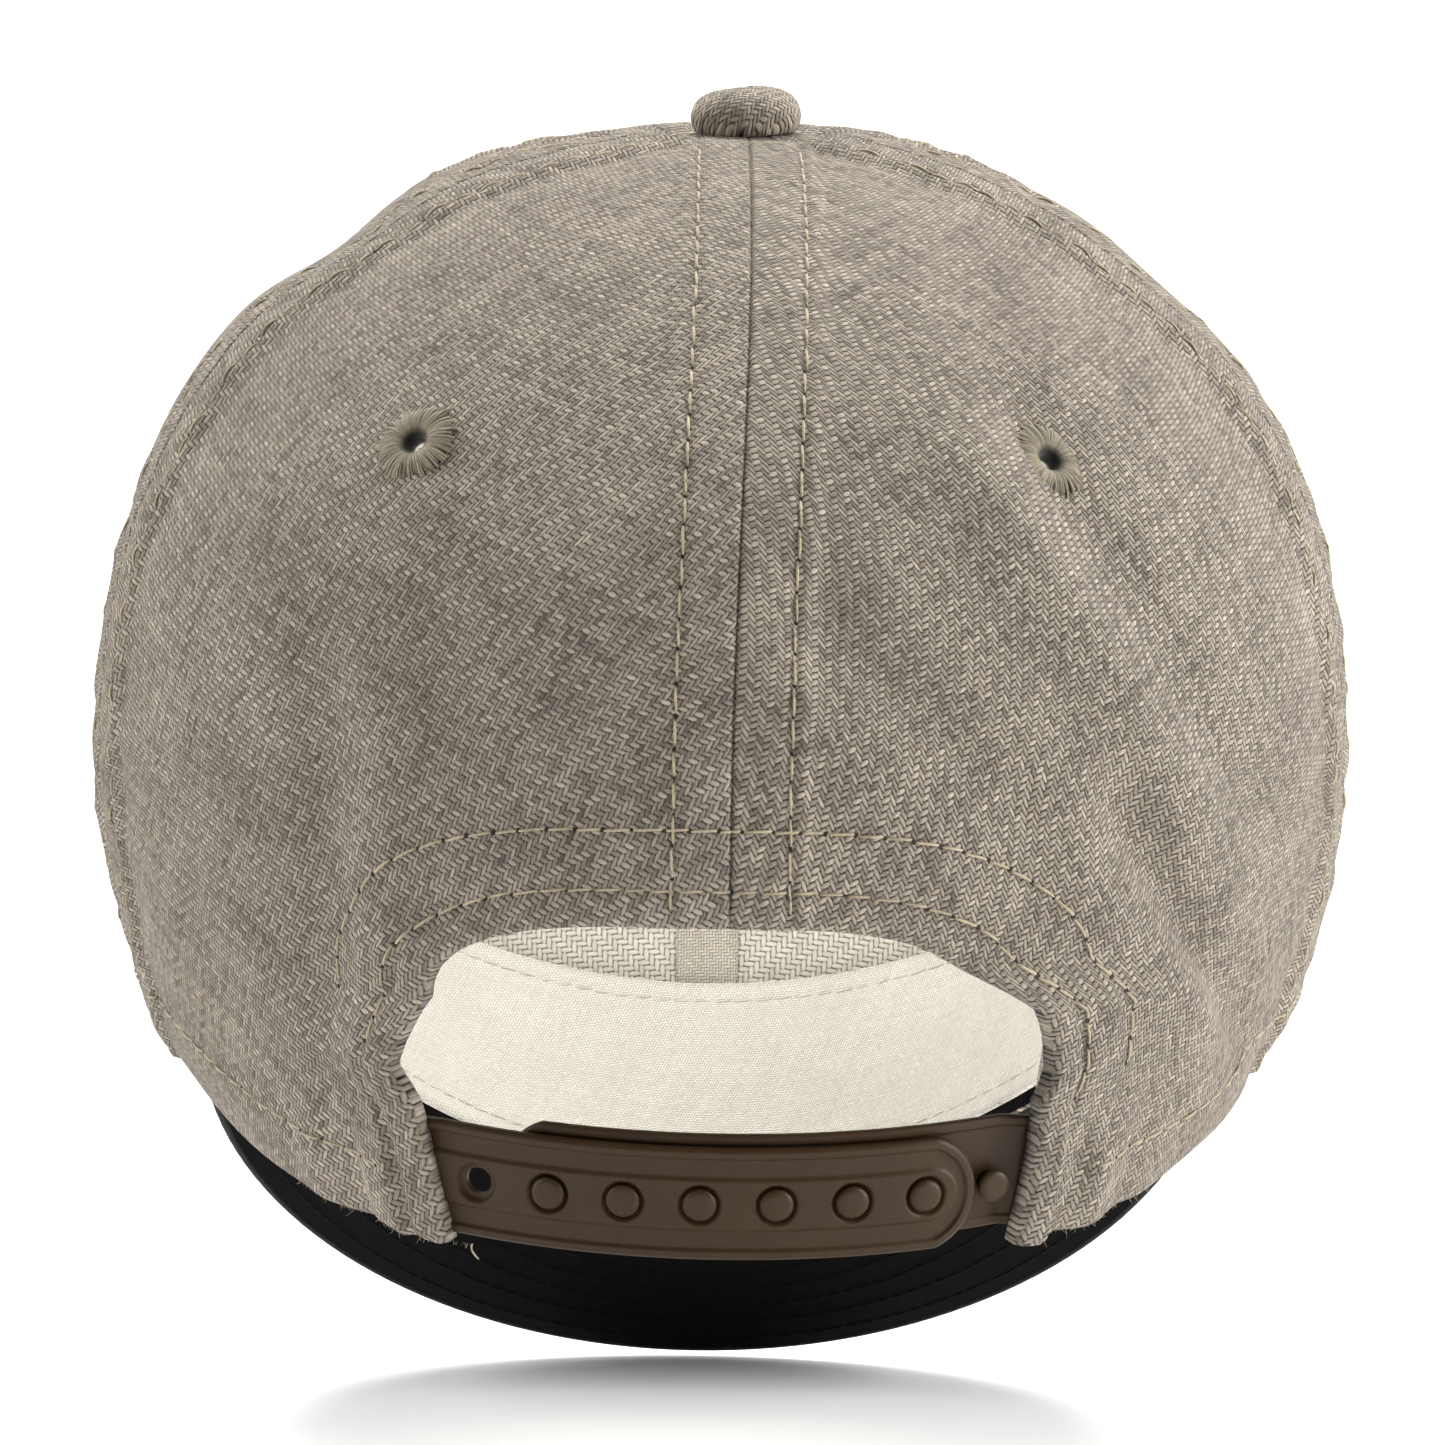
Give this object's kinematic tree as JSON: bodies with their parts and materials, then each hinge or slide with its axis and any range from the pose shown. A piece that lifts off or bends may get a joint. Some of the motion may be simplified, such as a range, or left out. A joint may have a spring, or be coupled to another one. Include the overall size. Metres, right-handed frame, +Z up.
{
  "type": "baseball cap",
  "caption": "Six-panel cap with a stiff sloping visor, a covered top button, sewn vent eyelets and an arched rear opening closed by a plastic snap strap.",
  "frame": {"origin": "on the middle plane of the cap, under the middle of the crown, at the height of the back strap's lower edge", "axes": "+Z up, out through the top of the crown; -Y forward, along the visor; +Y to the back strap; +X to the wearer's left"},
  "size_m": [0.1782, 0.2433, 0.2063],
  "materials": {
    "crown_fabric": "heathered oatmeal and grey two-and-two twill weave, matt, slightly hairy",
    "seam_tape": "natural off-white woven cotton tape",
    "eyelet_thread": "grey-khaki embroidery thread with a soft lustre",
    "buckram": "stiff open-weave off-white buckram",
    "sweatband": "natural off-white cotton twill",
    "foam": "thin off-white foam strip",
    "button_metal": "thin pressed tinplate",
    "button_back": "black plastic cap",
    "visor_board": "stiff moulded board",
    "visor_top": "smooth black tightly woven cloth, as the underside",
    "visor_cloth": "smooth black tightly woven cloth",
    "visor_binding": "black bound edge",
    "strap_plastic": "moulded brown plastic, satin-matt"
  },
  "bodies": {
    "cap": {"panel_front_left": "crown_fabric", "panel_front_right": "crown_fabric", "panel_side_left": "crown_fabric", "panel_side_right": "crown_fabric", "panel_rear_left": "crown_fabric", "panel_rear_right": "crown_fabric", "buckram_left": "buckram", "buckram_right": "buckram", "seam_tape_front_centre": "seam_tape", "seam_tape_front_left": "seam_tape", "seam_tape_front_right": "seam_tape", "seam_tape_rear_left": "seam_tape", "seam_tape_rear_right": "seam_tape", "seam_tape_rear_centre": "seam_tape", "sweatband": "sweatband", "sweatband_foam": "foam", "rear_arch_facing": "seam_tape", "button_cover": "crown_fabric", "button_shell": "button_metal", "button_rivet": "button_metal", "button_back": "button_back", "eyelet_front_left": "eyelet_thread", "eyelet_front_right": "eyelet_thread", "eyelet_side_left": "eyelet_thread", "eyelet_side_right": "eyelet_thread", "eyelet_rear_left": "eyelet_thread", "eyelet_rear_right": "eyelet_thread", "visor_board": "visor_board", "visor_top_cover": "visor_top", "visor_under_cover": "visor_cloth", "visor_edge_binding": "visor_binding", "strap_with_holes_root": "strap_plastic", "strap_with_studs_root": "strap_plastic"},
    "hole_band": {"strap_with_holes": "strap_plastic"},
    "stud_band": {"strap_with_studs": "strap_plastic"}
  },
  "joints": [
    {"name": "hole_band_flex", "type": "hinge", "parent": "cap", "child": "hole_band", "pos_m": [0.03603, 0.07695, 0.00979], "axis": [0, -0.2756, -0.9613], "range_deg": [0, 90], "stiffness_Nm_per_rad": 0.03},
    {"name": "stud_band_flex", "type": "hinge", "parent": "cap", "child": "stud_band", "pos_m": [-0.03553, 0.07601, 0.01006], "axis": [0, -0.2756, -0.9613], "range_deg": [0, 90], "stiffness_Nm_per_rad": 0.03}
  ]
}
